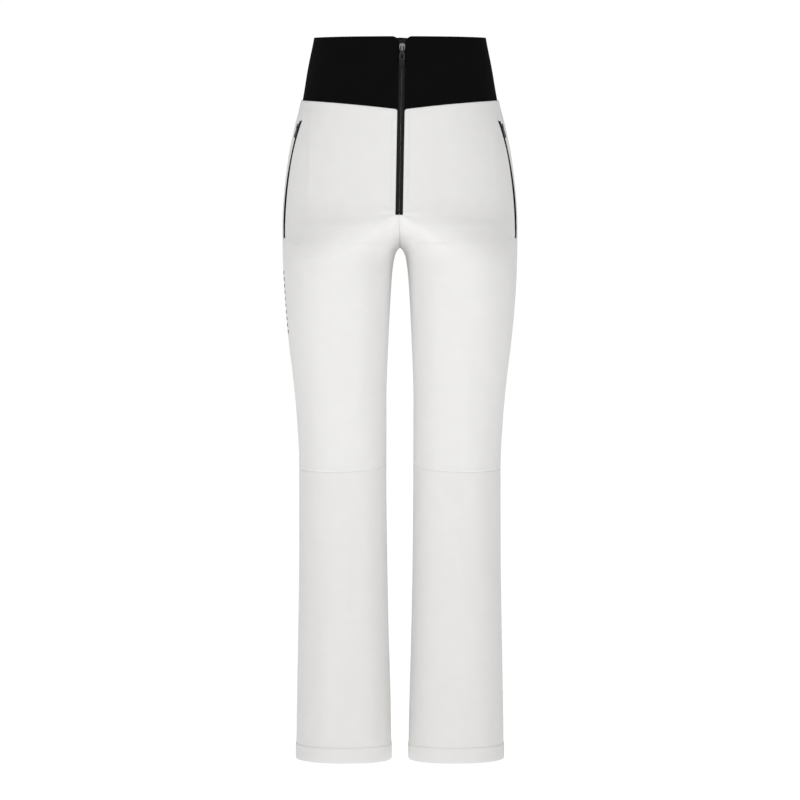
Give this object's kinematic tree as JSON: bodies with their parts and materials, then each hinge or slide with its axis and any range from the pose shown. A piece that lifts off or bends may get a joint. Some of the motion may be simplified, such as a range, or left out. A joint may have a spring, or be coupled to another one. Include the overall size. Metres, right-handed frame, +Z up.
{
  "type": "ski pants",
  "caption": "High-waisted ski pants on their worn shape, with a wide knit waistband, a centre-front zip, zipped hip pockets, curved knee seams, turned hems and inner snow gaiters.",
  "frame": {"origin": "centre of the waist opening, level with the waistband's edge at the side seams", "axes": "+Z up along the wearer, -Y the way the wearer faces, +X the wearer's left"},
  "size_m": [0.356, 0.2531, 1.1012],
  "materials": {
    "shell_fabric": "white insulated softshell, matte with a faint sheen",
    "band_knit": "black dense elastic knit, matte",
    "lining_fabric": "smooth pale lining cloth",
    "webbing": "black woven tape",
    "black_coil": "black nylon coil",
    "nickel": "nickel plate",
    "gunmetal": "dark plated metal",
    "black_metal": "black lacquered metal, satin",
    "black_rubber": "black moulded rubber",
    "silicone": "black silicone print"
  },
  "bodies": {
    "garment": {"front_upper_left": "shell_fabric", "back_upper_left": "shell_fabric", "front_lower_left": "shell_fabric", "back_lower_left": "shell_fabric", "hem_band_left": "shell_fabric", "gaiter_left": "lining_fabric", "gaiter_elastic_left": "webbing", "pocket_bag_left": "lining_fabric", "hanger_loop_left": "webbing", "fly_tape_left": "webbing", "fly_teeth_left": "black_coil", "fly_top_stop_left": "nickel", "pocket_tape_front_left": "webbing", "pocket_tape_rear_left": "webbing", "pocket_teeth_front_left": "black_coil", "pocket_teeth_rear_left": "black_coil", "waistband_front_left": "band_knit", "front_upper_right": "shell_fabric", "back_upper_right": "shell_fabric", "front_lower_right": "shell_fabric", "back_lower_right": "shell_fabric", "hem_band_right": "shell_fabric", "gaiter_right": "lining_fabric", "gaiter_elastic_right": "webbing", "pocket_bag_right": "lining_fabric", "hanger_loop_right": "webbing", "fly_tape_right": "webbing", "fly_teeth_right": "black_coil", "fly_top_stop_right": "nickel", "pocket_tape_front_right": "webbing", "pocket_tape_rear_right": "webbing", "pocket_teeth_front_right": "black_coil", "pocket_teeth_rear_right": "black_coil", "waistband_front_right": "band_knit", "waistband_back": "band_knit", "waistband_facing": "band_knit", "waist_grip_tape": "silicone", "fly_underlap": "lining_fabric", "fly_bottom_stop": "black_metal"},
    "front_slider": {"fly_slider": "nickel"},
    "front_puller": {"fly_puller": "gunmetal", "fly_puller_end": "black_rubber"},
    "left_pocket_slider": {"pocket_left_slider": "black_metal"},
    "left_pocket_puller": {"pocket_left_puller": "black_metal"},
    "right_pocket_slider": {"pocket_right_slider": "black_metal"},
    "right_pocket_puller": {"pocket_right_puller": "black_metal"}
  },
  "joints": [
    {"name": "front_zip_slide", "type": "slide", "parent": "garment", "child": "front_slider", "axis": [-0.018, -0.0597, -0.9981], "range_m": [0, 0.23596]},
    {"name": "front_puller_hinge", "type": "hinge", "parent": "front_slider", "child": "front_puller", "pos_m": [0.00318, -0.10106, -0.02694], "axis": [-0.9998, 0, 0.018], "range_deg": [0, 165]},
    {"name": "left_pocket_zip_run", "type": "hinge", "parent": "garment", "child": "left_pocket_slider", "pos_m": [0.00258, -0.26213, -0.25173], "axis": [-0.8238, 0.5601, -0.0875], "range_deg": [0, 31.11]},
    {"name": "left_pocket_puller_hinge", "type": "hinge", "parent": "left_pocket_slider", "child": "left_pocket_puller", "pos_m": [0.15351, -0.0329, -0.13805], "axis": [-0.2113, -0.9182, -0.3349], "range_deg": [0, 165]},
    {"name": "right_pocket_zip_run", "type": "hinge", "parent": "garment", "child": "right_pocket_slider", "pos_m": [-0.00258, -0.26213, -0.25173], "axis": [-0.8238, -0.5601, 0.0875], "range_deg": [0, 31.11]},
    {"name": "right_pocket_puller_hinge", "type": "hinge", "parent": "right_pocket_slider", "child": "right_pocket_puller", "pos_m": [-0.15351, -0.0329, -0.13805], "axis": [-0.2113, 0.9182, 0.3349], "range_deg": [0, 165]}
  ]
}
